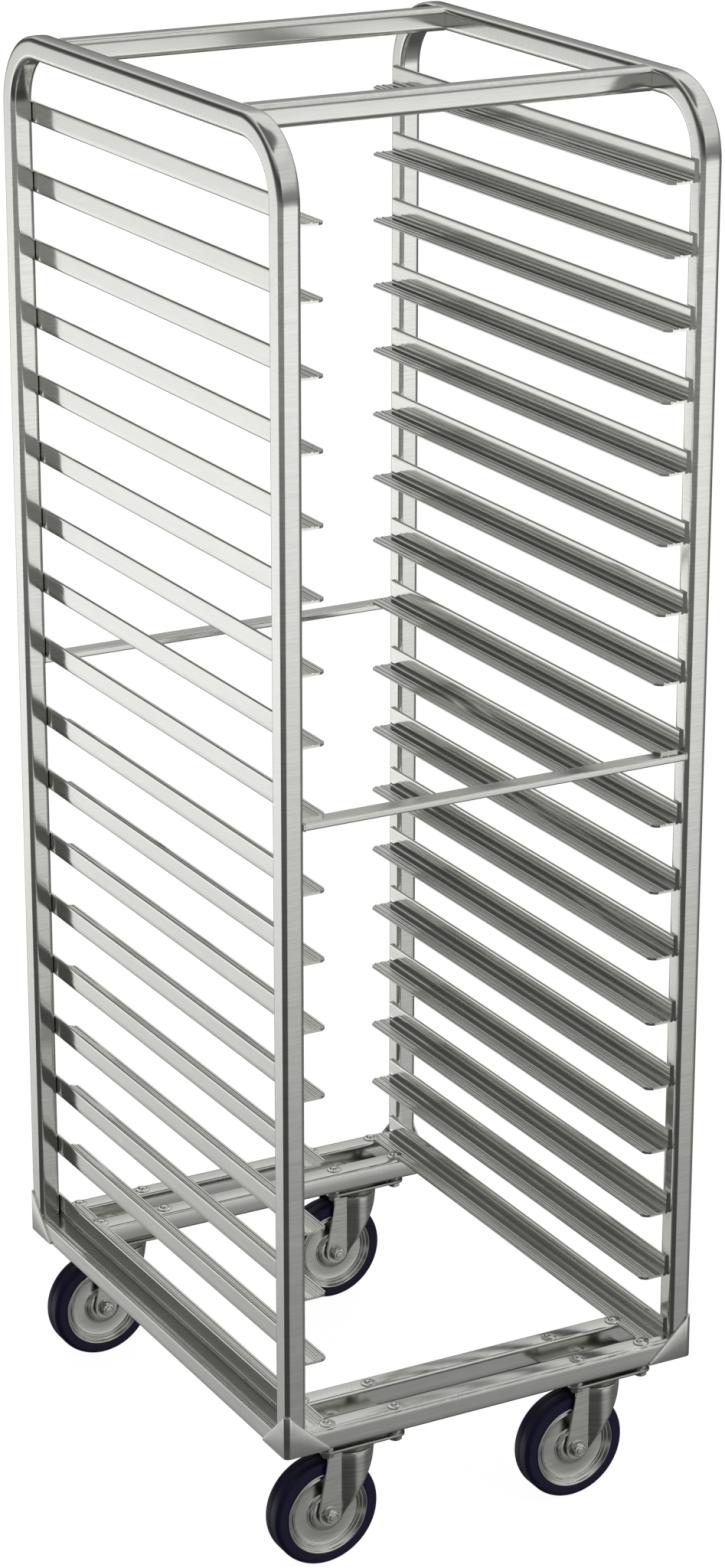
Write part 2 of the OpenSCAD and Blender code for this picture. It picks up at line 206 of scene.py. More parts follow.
ALU = (0.90, 0.905, 0.865)
STEEL = (0.74, 0.74, 0.70)
M = {
    "post": metal("alu_post", ALU, 0.135, "uv", fine=0.17, band=0.04, cloud=0.05, fine_scale=620.0, along=26.0, wave=0.00006),
    "bar": metal("alu_bar", ALU, 0.14, "x", fine=0.08, band=0.06, wave=0.00006),
    "slide": metal("alu_slide", ALU, 0.11, "y", fine=0.08, band=0.05, wave=0.00004, bump=0.15),
    "channel": metal("alu_channel", ALU, 0.14, "x", fine=0.08, band=0.07, wave=0.00006),
    "rail": metal("alu_rail", ALU, 0.14, "y", fine=0.08, band=0.06, wave=0.00006),
    "gusset": metal("alu_gusset", ALU, 0.17, "ring", fine=0.10, band=0.05, wave=0.00006),
    "weld": metal("weld_bead", (0.80, 0.80, 0.76), 0.34, "x", fine=0.12, band=0.10, cloud=0.16, fine_scale=500, along=400),
    "fork": metal("caster_fork", (0.78, 0.78, 0.74), 0.24, "ring", fine=0.34, band=0.20, cloud=0.06, bump=0.7, depth=0.00003, fine_scale=560),
    "plate": metal("caster_plate", (0.62, 0.62, 0.58), 0.28, "x", fine=0.12, band=0.06),
    "zinc": metal("zinc", (0.86, 0.86, 0.82), 0.13, "x", fine=0.05, band=0.04, cloud=0.10, fine_scale=500, along=300),
    "pin": metal("bearing_steel", (0.70, 0.70, 0.68), 0.22, "ring", fine=0.05, band=0.03),
    "wheel": metal("wheel_metal", (0.80, 0.80, 0.76), 0.20, "x", fine=0.14, band=0.08, cloud=0.06),
}


def rubber():
    mat = bpy.data.materials.new("tread_rubber")
    nt, bsdf = nodes_of(mat)
    obj = nt.nodes.new("ShaderNodeTexCoord").outputs["Object"]
    cl = noise(nt, obj, 32.0, detail=4.0, rough=0.6)
    fine = noise(nt, obj, 1500.0, detail=2.0)
    scuff = ramp01(nt, noise(nt, obj, 90.0, (1.0, 1.0, 1.0), detail=5.0, rough=0.7, loc=(4, 4, 1)), 0.60, 0.78)
    f = math_node(nt, "MULTIPLY_ADD", math_node(nt, "SUBTRACT", cl, 0.5), 0.5, 1.0)
    f = math_node(nt, "MULTIPLY_ADD", scuff, 0.25, f)
    nt.links.new(scale_color(nt, (0.016, 0.0135, 0.062), f), bsdf.inputs["Base Color"])
    r = math_node(nt, "MULTIPLY_ADD", math_node(nt, "SUBTRACT", cl, 0.5), 0.14, 0.46)
    r = math_node(nt, "MULTIPLY_ADD", scuff, 0.12, r)
    nt.links.new(r, bsdf.inputs["Roughness"])
    bsdf.inputs["Specular IOR Level"].default_value = 0.35
    b = nt.nodes.new("ShaderNodeBump")
    b.inputs["Strength"].default_value = 0.25
    b.inputs["Distance"].default_value = 0.00006
    nt.links.new(math_node(nt, "MULTIPLY_ADD", cl, 1.5, fine), b.inputs["Height"])
    nt.links.new(b.outputs[0], bsdf.inputs["Normal"])
    return mat


M["tread"] = rubber()

# ---------------------------------------------------------------- mesh tools
class Build:
    """Collects vertices (mm), faces, brush-map corners and wear values for one object."""

    def __init__(self):
        self.v, self.f, self.uv, self.wear, self.sharp = [], [], [], [], []

    def add(self, verts, faces, uvs=None, wear=None):
        k = len(self.v)
        self.v += [tuple(p) for p in verts]
        self.wear += list(wear) if wear else [0.0] * len(verts)
        for i, f in enumerate(faces):
            self.f.append(tuple(k + j for j in f))
            self.uv.append(uvs[i] if uvs else None)

    def mesh(self, name):
        me = bpy.data.meshes.new(name)
        me.from_pydata([(x * MM, y * MM, z * MM) for x, y, z in self.v], [], self.f)
        a = me.attributes.new("wear", "FLOAT", "POINT")
        a.data.foreach_set("value", self.wear)
        layer = me.uv_layers.new(name="brush")
        for p, uv in zip(me.polygons, self.uv):
            for j, li in enumerate(p.loop_indices):
                if uv:
                    layer.data[li].uv = uv[j]
                else:
                    co = me.vertices[me.loops[li].vertex_index].co
                    layer.data[li].uv = (co.z, co.x + co.y)
        return me

    def object(self, name, mat, body, slot, nodes=(), angle=32, bevel=0.0, segs=2, bevel_angle=40):
        return finish_object(name, self.mesh(name), mat, body, nodes, angle, bevel, segs, bevel_angle)


def finish_object(name, me, mat, body, nodes=(), angle=32, bevel=0.0, segs=2, bevel_angle=40):
    bm = bmesh.new()
    bm.from_mesh(me)
    bmesh.ops.recalc_face_normals(bm, faces=bm.faces)
    bm.to_mesh(me)
    bm.free()
    me.materials.append(mat)
    ob = bpy.data.objects.new(name, me)
    bpy.context.scene.collection.objects.link(ob)
    if bevel:
        b = ob.modifiers.new("bevel", "BEVEL")
        b.width = bevel * MM
        b.segments = segs
        b.limit_method = "ANGLE"
        b.angle_limit = rad(bevel_angle)
        b.use_clamp_overlap = False
        b.harden_normals = False
        w = ob.modifiers.new("weighted", "WEIGHTED_NORMAL")
        w.keep_sharp = True
        w.weight = 90
    for p in me.polygons:
        p.use_smooth = True
    mark_sharp(me, angle if not bevel else 75)
    bpy.context.view_layer.update()
    if ob.modifiers:
        dg = bpy.context.evaluated_depsgraph_get()
        new = bpy.data.meshes.new_from_object(ob.evaluated_get(dg), preserve_all_data_layers=True, depsgraph=dg)
        ob.modifiers.clear()
        ob.data = new
        new.name = name
    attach(ob, body)
    if nodes:
        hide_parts(*nodes)
    return ob


def mark_sharp(me, angle):
    bm = bmesh.new()
    bm.from_mesh(me)
    for e in bm.edges:
        e.smooth = not (len(e.link_faces) == 2 and e.calc_face_angle(0) > rad(angle))
    bm.to_mesh(me)
    bm.free()


def sweep(b, loop, stations, wear=None, caps=True, inner=None, tilt_v=0.0):
    """Sweeps closed 2D loops along stations (origin, ax, ay, s). A station may carry its own loop."""
    def ring(lp, st):
        o, ax, ay = Vector(st[0]), Vector(st[1]), Vector(st[2])
        return [o + ax * x + ay * y for x, y in lp]

    def skin(loops, flip):
        n = len(loops[0])
        verts = [p for lp, st in zip(loops, stations) for p in ring(lp, st)]
        cum = [0.0]
        for i in range(n):
            a, c = loops[0][i], loops[0][(i + 1) % n]
            cum.append(cum[-1] + math.hypot(c[0] - a[0], c[1] - a[1]))
        faces, uvs = [], []
        for k in range(len(stations) - 1):
            s0, s1 = stations[k][3] * MM, stations[k + 1][3] * MM
            for i in range(n):
                j = (i + 1) % n
                q = [k * n + i, k * n + j, (k + 1) * n + j, (k + 1) * n + i]
                u = [(s0, cum[i] * MM), (s0, cum[i + 1] * MM), (s1, cum[i + 1] * MM), (s1, cum[i] * MM)]
                faces.append(q[::-1] if flip else q)
                uvs.append(u[::-1] if flip else u)
        return verts, faces, uvs

    loops = [st[4] if len(st) > 4 else loop for st in stations]
    verts, faces, uvs = skin(loops, False)
    n, m = len(loops[0]), len(stations)
    w = (wear or [0.0] * n) * m
    if inner is None:
        if caps:
            faces += [tuple(range(n))[::-1], tuple((m - 1) * n + i for i in range(n))]
            uvs += [None, None]
        b.add(verts, faces, uvs, w)
    else:
        v2, f2, u2 = skin([inner] * m, True)
        k = len(verts)
        n2 = len(inner)
        faces += [tuple(k + i for i in f) for f in f2]
        uvs += u2
        if caps and n2 == n:
            for base, flip in ((0, True), ((m - 1), False)):
                for i in range(n):
                    j = (i + 1) % n
                    q = (base * n + i, base * n + j, k + base * n + j, k + base * n + i)
                    faces.append(q if flip else q[::-1])
                    uvs.append(None)
        b.add(verts + v2, faces, uvs, w + [0.0] * len(v2))


def prism(b, outline, lo, hi, axes=("x", "y", "z"), origin=(0, 0, 0)):
    """A 2D outline run from lo to hi. axes names the world axes of the outline's two and of the run."""
    ix = ["xyz".index(a) for a in axes]
    def put(u, v, w):
        p = [0.0, 0.0, 0.0]
        p[ix[0]], p[ix[1]], p[ix[2]] = u, v, w
        return (p[0] + origin[0], p[1] + origin[1], p[2] + origin[2])
    n = len(outline)
    verts = [put(u, v, lo) for u, v in outline] + [put(u, v, hi) for u, v in outline]
    faces = [(i, (i + 1) % n, n + (i + 1) % n, n + i) for i in range(n)]
    faces += [tuple(range(n))[::-1], tuple(range(n, 2 * n))]
    b.add(verts, faces)


def lathe(b, profile, centre, axis="z", n=64, closed=True, wear=None, sign=1):
    """Turns a profile of (radius, height) about an axis through centre."""
    m = len(profile)
    verts, w = [], []
    for k in range(n):
        a = 2 * math.pi * k / n
        c, s = math.cos(a), math.sin(a)
        for i, (r, h) in enumerate(profile):
            h *= sign
            p = {"z": (r * c, r * s, h), "y": (r * c, h, r * s), "x": (h, r * c, r * s)}[axis]
            verts.append((p[0] + centre[0], p[1] + centre[1], p[2] + centre[2]))
            w.append(wear[i] if wear else 0.0)
    faces = []
    rng = m if closed else m - 1
    for k in range(n):
        k2 = (k + 1) % n
        for i in range(rng):
            j = (i + 1) % m
            q = (k * m + i, k2 * m + i, k2 * m + j, k * m + j)
            if profile[i][0] < 1e-6 and profile[j][0] < 1e-6:
                continue
            faces.append(q)
    keep = {}
    # weld points on the axis
    remap = list(range(len(verts)))
    for i, (r, h) in enumerate(profile):
        if r < 1e-6:
            for k in range(n):
                remap[k * m + i] = i
    out = []
    for q in faces:
        q = [remap[i] for i in q]
        d = []
        for i in q:
            if not d or d[-1] != i:
                d.append(i)
        if d[0] == d[-1]:
            d.pop()
        if len(d) > 2:
            out.append(tuple(d))
    used = sorted(set(i for q in out for i in q))
    idx = {u: k for k, u in enumerate(used)}
    b.add([verts[u] for u in used], [tuple(idx[i] for i in q) for q in out], None, [w[u] for u in used])


def hexagon(b, r, h, centre, axis="z", sign=1, chamfer=0.9, turn=0.0):
    """Hexagon nut or head with its corners turned down at the free end. r is to the corners."""
    rings = []
    flat = r * math.cos(math.pi / 6)
    for z, rc, rm in ((0, r, flat), (h - chamfer, r, flat), (h, flat * 1.0, flat * 0.94), (h, flat * 0.86, flat * 0.86)):
        ring = []
        for k in range(12):
            a = math.pi / 6 * k + turn
            rr = rc if k % 2 == 0 else rm
            zz = z
            if z == h - chamfer and k % 2 == 1:
                zz = h - chamfer * 0.15
            ring.append((rr * math.cos(a), rr * math.sin(a), zz))
        rings.append(ring)
    verts, faces = [], []
    for ring in rings:
        for x, y, z in ring:
            z *= sign
            p = {"z": (x, y, z), "y": (x, z, y), "x": (z, x, y)}[axis]
            verts.append((p[0] + centre[0], p[1] + centre[1], p[2] + centre[2]))
    for k in range(len(rings) - 1):
        for i in range(12):
            j = (i + 1) % 12
            faces.append((k * 12 + i, k * 12 + j, (k + 1) * 12 + j, (k + 1) * 12 + i))
    faces.append(tuple(range(12))[::-1])
    faces.append(tuple(36 + i for i in range(12)))
    b.add(verts, faces)


def box_loop(w, h, r, n=6, sup=1.8):
    """Rounded rectangle with a support point beside each corner, and its wear values."""
    pts, wear = [], []
    for cx, cy, a in ((w / 2 - r, h / 2 - r, 0), (-w / 2 + r, h / 2 - r, 90), (-w / 2 + r, -h / 2 + r, 180), (w / 2 - r, -h / 2 + r, 270)):
        ca, sa = math.cos(rad(a)), math.sin(rad(a))
        pre = (cx + ca * r + sa * sup, cy + sa * r - ca * sup)
        pts.append(pre); wear.append(0.0)
        c = arc(cx, cy, r, a, a + 90, n)
        pts += c; wear += [0.35] + [1.0] * (n - 1) + [0.35]
        cb, sb = math.cos(rad(a + 90)), math.sin(rad(a + 90))
        post = (cx + cb * r - sb * sup, cy + sb * r + cb * sup)
        pts.append(post); wear.append(0.0)
    return pts, wear


def tube_loop(w=TUBE, h=TUBE, e=6.8, n=14):
    """Square tube with rolled corners: each side starts to turn gently e before the corner and turns fastest at it."""
    m, x, y = 84, 0.0, 0.0
    path = [(0.0, 0.0, 0.0)]
    for i in range(m):
        t = (i + 0.5) / m
        a = math.pi / 2 * t * t * (3 - 2 * t)
        x += math.cos(a)
        y += math.sin(a)
        path.append((x, y, (i + 1) / m))
    k = e / x
    pick = [path[round(m * i / n)] for i in range(n + 1)]
    pts, wear = [], []
    for q in range(4):
        c, sn = (1, 0, -1, 0)[q], (0, 1, 0, -1)[q]
        for px, py, t in pick:
            u, v = w / 2 - py * k, h / 2 - e + px * k
            pts.append((u * c - v * sn, u * sn + v * c))
            wear.append(smooth01((0.5 - abs(t - 0.5)) / 0.35))
    return pts, wear


# ---------------------------------------------------------------- side frames
def side_frame(s):
    b = Build()
    xc = s * (XO - TUBE / 2)
    loop, wear = tube_loop()
    # points across the outer face, so that it can crown in the bends
    def crowned(k):
        out = []
        for x, y in loop:
            if y > 0:
                y = y - k * 0.55 * (min(abs(x), 12.7) / 9.4) ** 2 * (1 if y > 8 else max(0, y) / 8)
            out.append((x, y))
        return out
    mid = [(x, y) for x, y in loop]
    top = [i for i, (x, y) in enumerate(loop) if abs(y - TUBE / 2) < 1e-6]
    # extra points along the outer face
    new_loop, new_wear = [], []
    for i, (p, w) in enumerate(zip(loop, wear)):
        new_loop.append(p); new_wear.append(w)
        q = loop[(i + 1) % len(loop)]
        if abs(p[1] - TUBE / 2) < 1e-6 and abs(q[1] - TUBE / 2) < 1e-6 and abs(p[0] - q[0]) > 8:
            for f in (0.2, 0.4, 0.6, 0.8):
                new_loop.append((p[0] + (q[0] - p[0]) * f, TUBE / 2)); new_wear.append(0.0)
    loop, wear = new_loop, new_wear
    inner = [(x * (1 - 2 * WALL / TUBE), y * (1 - 2 * WALL / TUBE)) for x, y in loop]
    stations = []
    sp = 0.0
    def put(origin, out_dir, s_, k=0.0):
        stations.append((origin, (1, 0, 0), out_dir, s_, crowned(k)))
    run = BEND_Z - BASE_Z
    for z in (BASE_Z, BASE_Z + 3, BASE_Z + run * 0.33, BASE_Z + run * 0.66, BEND_Z - 12, BEND_Z - 4):
        put((xc, -(YO - TUBE / 2), z), (0, -1, 0), z - BASE_Z, 0.35)
    n = 30
    arc_len = BEND_C * math.pi / 2
    for i in range(n + 1):
        t = 90.0 * i / n
        d = (0, -math.cos(rad(t)), math.sin(rad(t)))
        k = smooth01(t / 14) * smooth01((90 - t) / 14)
        put((xc, -BEND_Y + BEND_C * d[1], BEND_Z + BEND_C * d[2]), d, run + arc_len * i / n, 0.35 + 0.65 * k)
    s0 = run + arc_len
    for i in range(1, 6):
        y = -BEND_Y + 2 * BEND_Y * i / 6
        put((xc, y, TOP_Z - TUBE / 2), (0, 0, 1), s0 + 2 * BEND_Y * i / 6, 0.35)
    s1 = s0 + 2 * BEND_Y
    for i in range(n + 1):
        t = 90.0 * i / n
        d = (0, math.sin(rad(t)), math.cos(rad(t)))
        k = smooth01(t / 14) * smooth01((90 - t) / 14)
        put((xc, BEND_Y + BEND_C * d[1], BEND_Z + BEND_C * d[2]), d, s1 + arc_len * i / n, 0.35 + 0.65 * k)
    s2 = s1 + arc_len
    for z in (BEND_Z - 4, BEND_Z - 12, BASE_Z + run * 0.66, BASE_Z + run * 0.33, BASE_Z + 3, BASE_Z):
        put((xc, YO - TUBE / 2, z), (0, 1, 0), s2 + BEND_Z - z, 0.35)
    sweep(b, loop, stations, wear, True, inner)
    side = "left" if s < 0 else "right"
    return b.object("side_frame_tube_" + side, M["post"], "frame", "frame_metal", ["side_frame_" + side], angle=28)


# ---------------------------------------------------------------- crossbars and weld beads
def bead(b, path, r, seed, lumps=2.1):
    """A weld bead along a closed path of points, with the ripples of its run."""
    rr = random.Random(seed)
    pts = [Vector(p) for p in path]
    n = len(pts)
    dist = 0.0
    k = 8
    verts, faces = [], []
    ph = rr.random() * 6
    for i in range(n):
        p, q, o = pts[i], pts[(i + 1) % n], pts[i - 1]
        t = (q - o).normalized()
        a = Vector((1, 0, 0))
        c = t.cross(a).normalized()
        size = r * (1 + 0.16 * math.sin(dist / lumps * 2 * math.pi / 1.0 + ph) + 0.12 * (rr.random() - 0.5))
        for j in range(k):
            an = 2 * math.pi * j / k
            verts.append(p + a * (size * 0.85 * math.cos(an)) + c * (size * math.sin(an)))
        dist += (q - p).length
    for i in range(n):
        i2 = (i + 1) % n
        for j in range(k):
            j2 = (j + 1) % k
            faces.append((i * k + j, i * k + j2, i2 * k + j2, i2 * k + j))
    b.add(verts, faces)


def along_loop(loop, step):
    """Points every step mm along a closed 2D loop."""
    out = []
    n = len(loop)
    carry = 0.0
    for i in range(n):
        a, c = loop[i], loop[(i + 1) % n]
        d = math.hypot(c[0] - a[0], c[1] - a[1])
        t = carry
        while t < d:
            out.append((a[0] + (c[0] - a[0]) * t / d, a[1] + (c[1] - a[1]) * t / d))
            t += step
        carry = t - d
    return out


def crossbars():
    for name, t in (("front", -1), ("rear", 1)):
        b = Build()
        loop, wear = tube_loop()
        inner = [(x * (1 - 2 * WALL / TUBE), y * (1 - 2 * WALL / TUBE)) for x, y in loop]
        y0, z0 = t * 213.8, TOP_Z - TUBE / 2
        # the ends run on 1.6 mm past the inner faces, on to the rolled corners of the side frames
        st = [((x, y0, z0), (0, 1, 0), (0, 0, 1), x) for x in (-XI - 1.6, -XI + 4, -100, 0, 100, XI - 4, XI + 1.6)]
        sweep(b, loop, st, wear, True, inner)
        b.object("top_bar_" + name, M["bar"], "frame", "frame_metal", ["top_crossbar_" + name], angle=28)
        w = Build()
        for sx in (-1, 1):
            path = [(sx * (XI - 0.05), y0 + x * 0.985, z0 + y * 0.985) for x, y in along_loop(loop, 0.7)]
            # the bead stays under the top of the frame
            path = [(px, py, min(pz, TOP_Z - 1.6)) for px, py, pz in path]
            bead(w, path, 0.5, 11 + t + sx)
        w.object("top_bar_welds_" + name, M["weld"], "frame", "frame_metal", angle=50)

        b = Build()
        loop, wear = box_loop(20.3, 7.5, 1.2, 4, 0.9)
        y0, z0 = t * (YO - 20.3 / 2), MID_Z - 3.75
        st = [((x, y0, z0), (0, 1, 0), (0, 0, 1), x) for x in (-XI - 1.4, -XI + 4, -90, 0, 90, XI - 4, XI + 1.4)]
        sweep(b, loop, st, wear)
        b.object("mid_bar_" + name, M["bar"], "frame", "frame_metal", ["mid_crossbar_" + name], angle=28)
        w = Build()
        for sx in (-1, 1):
            path = [(sx * (XI - 0.4), y0 + x, z0 + y) for x, y in along_loop([(p[0] * 0.985, p[1] * 0.99) for p in loop], 0.6)]
            path = [(px, max(-YO + 0.7, min(YO - 0.7, py)), pz) for px, py, pz in path]
            bead(w, path, 0.85, 31 + t + sx, 1.7)
        w.object("mid_bar_welds_" + name, M["weld"], "frame", "frame_metal", angle=50)


# ---------------------------------------------------------------- slides
def slide_section():
    """(u, v): u from the post's inner face towards the middle, v up from the flange's underside."""
    pts = arc(2.4, 2.4, 2.4, 180, 270, 6) + [(15, 0)] + arc(FLANGE - 1.6, 1.6, 1.6, -90, 90, 10)
    def rib(u, r, top, foot=2.05, n=6):
        # a half-round rib of half-width r, run from its outer side to its inner side
        return [(u + r * math.cos(rad(a)), foot + (top - foot) * math.sin(rad(a))) for a in (180.0 * k / n for k in range(n + 1))]
    pts += [(29.3, 2.9), (28.7, 2.3)] + rib(27.2, 1.1, 2.7) + rib(23.6, 1.75, 3.45, n=8) + rib(19.8, 1.1, 2.7) + rib(15.3, 1.75, 3.45, n=8)
    pts += [(13.2, 2.15), (12.8, 2.6), (9, 2.6), (6.4, 2.6), (6.15, 2.85), (5.9, 3.0), (5.4, 3.0), (5.15, 2.9)]
    pts += arc(LEG_T + 2.2, 4.9, 2.2, 270, 180, 6)
    pts += [(LEG_T, 9), (LEG_T, LEG_H - 4)]
    pts += arc(LEG_T / 2, LEG_H - LEG_T / 2, LEG_T / 2, 0, 180, 8)
    pts += [(0, LEG_H - 4), (0, 7)]
    return pts


def slide_mesh(s, zs, notched=False):
    half = YO - INSET
    sec = slide_section()
    bm = bmesh.new()
    n = len(sec)
    ys = (-half, -half + 14, -half * 0.5, 0, half * 0.5, half - 14, half)
    rings = [[bm.verts.new((XI - u, y, v)) for u, v in sec] for y in ys]
    for a, c in zip(rings, rings[1:]):
        for i in range(n):
            bm.faces.new((a[i], a[(i + 1) % n], c[(i + 1) % n], c[i]))
    bm.faces.new(rings[0][::-1])
    bm.faces.new(rings[-1])
    bmesh.ops.recalc_face_normals(bm, faces=bm.faces)
    tip = XI - FLANGE
    for e in (-1, 1):
        cx, cy = tip + F_CORNER, e * (half - F_CORNER)
        k = 9
        for i in range(k):
            a = rad(90.0 * (i + 0.5) / k)
            no = Vector((-math.cos(a), e * math.sin(a), 0))
            co = Vector((cx, cy, 0)) + no * (F_CORNER * 1.0 / math.cos(rad(45.0 / k)) * 0.9995)
            geom = bm.verts[:] + bm.edges[:] + bm.faces[:]
            bmesh.ops.bisect_plane(bm, geom=geom, dist=1e-5, plane_co=co, plane_no=no, clear_outer=True)
            edges = [x for x in bm.edges if x.is_boundary]
            if edges:
                bmesh.ops.holes_fill(bm, edges=edges, sides=0)
    if notched:
        bm.normal_update()
        tmp = bpy.data.meshes.new("tmp_slide")
        bm.to_mesh(tmp)
        ob = bpy.data.objects.new("tmp_slide", tmp)
        bpy.context.scene.collection.objects.link(ob)
        cutters = []
        for t in (-1, 1):
            for u in (-1, 1):
                cb = Build()
                lathe(cb, [(0, -3), (9.6, -3), (9.6, 7), (0, 7)], (CX + BDX, t * (CY + u * BDY), 0), "z", 40, False)
                cm = cb.mesh("cut")
                c = bmesh.new(); c.from_mesh(cm); c.transform(Matrix.Scale(1 / MM, 4)); bmesh.ops.recalc_face_normals(c, faces=c.faces); c.to_mesh(cm); c.free()
                co = bpy.data.objects.new("cut", cm)
                bpy.context.scene.collection.objects.link(co)
                cutters.append(co)
                m = ob.modifiers.new("cut", "BOOLEAN")
                m.operation = "DIFFERENCE"
                m.solver = "EXACT"
                m.object = co
        bpy.context.view_layer.update()
        dg = bpy.context.evaluated_depsgraph_get()
        cut = bpy.data.meshes.new_from_object(ob.evaluated_get(dg), depsgraph=dg)
        bm.free()
        bm = bmesh.new()
        bm.from_mesh(cut)
        for c in cutters:
            bpy.data.objects.remove(c)
        bpy.data.objects.remove(ob)
    b = Build()
    bm.verts.index_update()
    base_v = [v.co.copy() for v in bm.verts]
    faces = [tuple(v.index for v in f.verts) for f in bm.faces]
    bm.free()
    for z in zs:
        verts = [((p.x if s > 0 else -p.x), p.y, p.z + z) for p in base_v]
        fs = faces if s > 0 else [f[::-1] for f in faces]
        wear = []
        for p in base_v:
            u = XI - p.x
            w = 0.0
            if u > FLANGE - 1.0 or p.z > LEG_H - 0.9 or abs(p.y) > half - 0.5:
                w = 1.0
            elif p.z > 3.25 and u > 10:
                w = 0.8
            wear.append(w)
        b.add(verts, fs, None, wear)
    return b


def slides():
    for side, s in (("left", -1), ("right", 1)):
        slide_mesh(s, [MID_Z + i * PITCH for i in range(9)]).object(
            "slide_set_upper_" + side, M["slide"], "frame", "slide_metal", ["slides_%s_upper" % side], angle=24)
        slide_mesh(s, [FIRST_Z + i * PITCH for i in range(1, 9)]).object(
            "slide_set_lower_" + side, M["slide"], "frame", "slide_metal", ["slides_%s_lower" % side], angle=24)
        slide_mesh(s, [FIRST_Z], True).object(
            "slide_bottom_" + side, M["slide"], "frame", "slide_metal", ["bottom_slide_" + side], angle=24)


# ---------------------------------------------------------------- base
def base_section(w, grooved):
    """Outline of a base tube w wide from its outer wall (u = 0) inwards, with its wear values."""
    h = BASE_H
    pts = arc(3.6, 2.2, 3.6, 180, 270, 8) + [(w / 2, -1.4)] + arc(w - 3.6, 2.2, 3.6, 270, 360, 8) + [(w, h / 2)] + arc(w - 3, h - 3, 3, 0, 90, 9)
    if grooved:
        pts += [(w / 2 + 2, h), (7.2, h), (5.9, h), (5.45, h - 0.12), (5.15, h - 0.42), (4.8, h - 0.55), (4.2, h - 0.5), (3.85, h - 0.75), (3.5, h - 1.3), (3.1, h - 1.5), (2.2, h - 1.6)]
        pts += arc(1.2, h - 2.8, 1.2, 90, 180, 6)
    else:
        pts += [(w / 2, h)] + arc(3, h - 3, 3, 90, 180, 9)
    pts += [(0, h - 6), (0, 7)]
    wear = [1.0 if (v > h - 3.4 and (u < 5.3 or u > w - 2.4)) or v < 0 else 0.0 for u, v in pts]
    return pts, wear


def base():
    gap = 36.3
    a = (86.6 - gap) / 2 + 0.35
    c = 86.6 - a - gap
    for name, t in (("front", -1), ("rear", 1)):
        for which, u0, w, grooved in (("outer", 0.0, a, True), ("inner", a + gap, c, False)):
            pts, wear = base_section(w, grooved)
            hole = [(2.5 + u * (w - 5.0) / w, 2.5 + v * (BASE_H - 5.0) / BASE_H) for u, v in pts]
            b = Build()
            loop = [(t * (YO - u0 - u), v) for u, v in pts]
            inner = [(t * (YO - u0 - u), v) for u, v in hole]
            st = [((x, 0, BASE_Z), (0, 1, 0), (0, 0, 1), x) for x in (-XI, -XI + 5, -160, -60, 60, 160, XI - 5, XI)]
            sweep(b, loop, st, wear, True, inner)
            b.object("base_tube_%s_%s" % (name, which), M["channel"], "frame", "frame_metal",
                     ["base_tubes_" + name] if which == "outer" else (), angle=30)
    for side, s in (("left", -1), ("right", 1)):
        pts, wear = base_section(TUBE, True)
        hole = [(2.5 + u * (TUBE - 5.0) / TUBE, 2.5 + v * (BASE_H - 5.0) / BASE_H) for u, v in pts]
        b = Build()
        loop = [(s * (XO - u), v) for u, v in pts]
        inner = [(s * (XO - u), v) for u, v in hole]
        st = [((0, y, BASE_Z), (1, 0, 0), (0, 0, 1), y) for y in (-YI, -YI + 5, -100, 0, 100, YI - 5, YI)]
        sweep(b, loop, st, wear, True, inner)
        b.object("rail_" + side, M["rail"], "frame", "frame_metal", ["base_rail_" + side], angle=30)
        # the seam that joins the lowest slide to its rail, down in the crease between them
        b = Build()
        loop = [(s * (XI - u), FIRST_Z + v) for u, v in ((0.9, 0.9), (2.0, 0.6), (3.2, 0.2), (2.6, -2.0), (1.4, -4.6), (0.4, -4.4), (-0.6, -3.4), (-0.1, -1.4))]
        sweep(b, loop, [((0, y, 0), (1, 0, 0), (0, 0, 1), y) for y in (-YI, -200, -100, 0, 100, 200, YI)])
        b.object("rail_seam_" + side, M["weld"], "frame", "frame_metal", angle=50)


def gussets():
    L, H, T = 52.0, 49.5, 1.9
    z0 = BASE_Z - 0.3
    for name, (sx, sy) in CORNERS.items():
        b = Build()
        # path of the inner face, from the front wall's free end round the fold
        path = []
        for d in (L, L - 0.7, 44, 36, 28, 20, 12, 7):
            path.append((XO - d, YO, 0, 1, d))
        for i in range(11):
            a = 90 - 9.0 * i
            path.append((XO - CORNER + CORNER * math.cos(rad(a)), YO - CORNER + CORNER * math.sin(rad(a)),
                         math.cos(rad(a)), math.sin(rad(a)), CORNER * (1 - math.cos(rad(min(a, 90 - a))))))
        for d in (7, 12, 20, 28, 36, 44, L - 0.7, L):
            path.append((XO, YO - d, 1, 0, d))
        stations = []
        sp = 0.0
        last = None
        for x, y, nx, ny, d in path:
            if last:
                sp += math.hypot(x - last[0], y - last[1])
            last = (x, y)
            h = H if d < 3.2 else H - (d - 3.2) * (H - 3.0) / (L - 3.2)
            o = (sx * x, sy * y, z0)
            r = 0.55
            loop = [(0.0, 0.35), (0.35, 0.0), (T - r, 0.0), (T - 0.16, 0.16), (T, r), (T, h * 0.5), (T, h - r - 0.5), (T - 0.08, h - 0.55),
                    (T - 0.35, h - 0.2), (T - 0.8, h), (0.45, h), (0.12, h - 0.12), (0.0, h - 0.45), (0.0, h * 0.5)]
            stations.append((o, (sx * nx, sy * ny, 0), (0, 0, 1), sp, loop))
        wear = [0, 0.3, 0.8, 1, 0.4, 0, 0.2, 1, 1, 1, 0.6, 0.6, 0.3, 0]
        sweep(b, None, stations, wear)
        b.object("corner_gusset_" + name, M["gusset"], "frame", "frame_metal", ["gusset_" + name], angle=40)


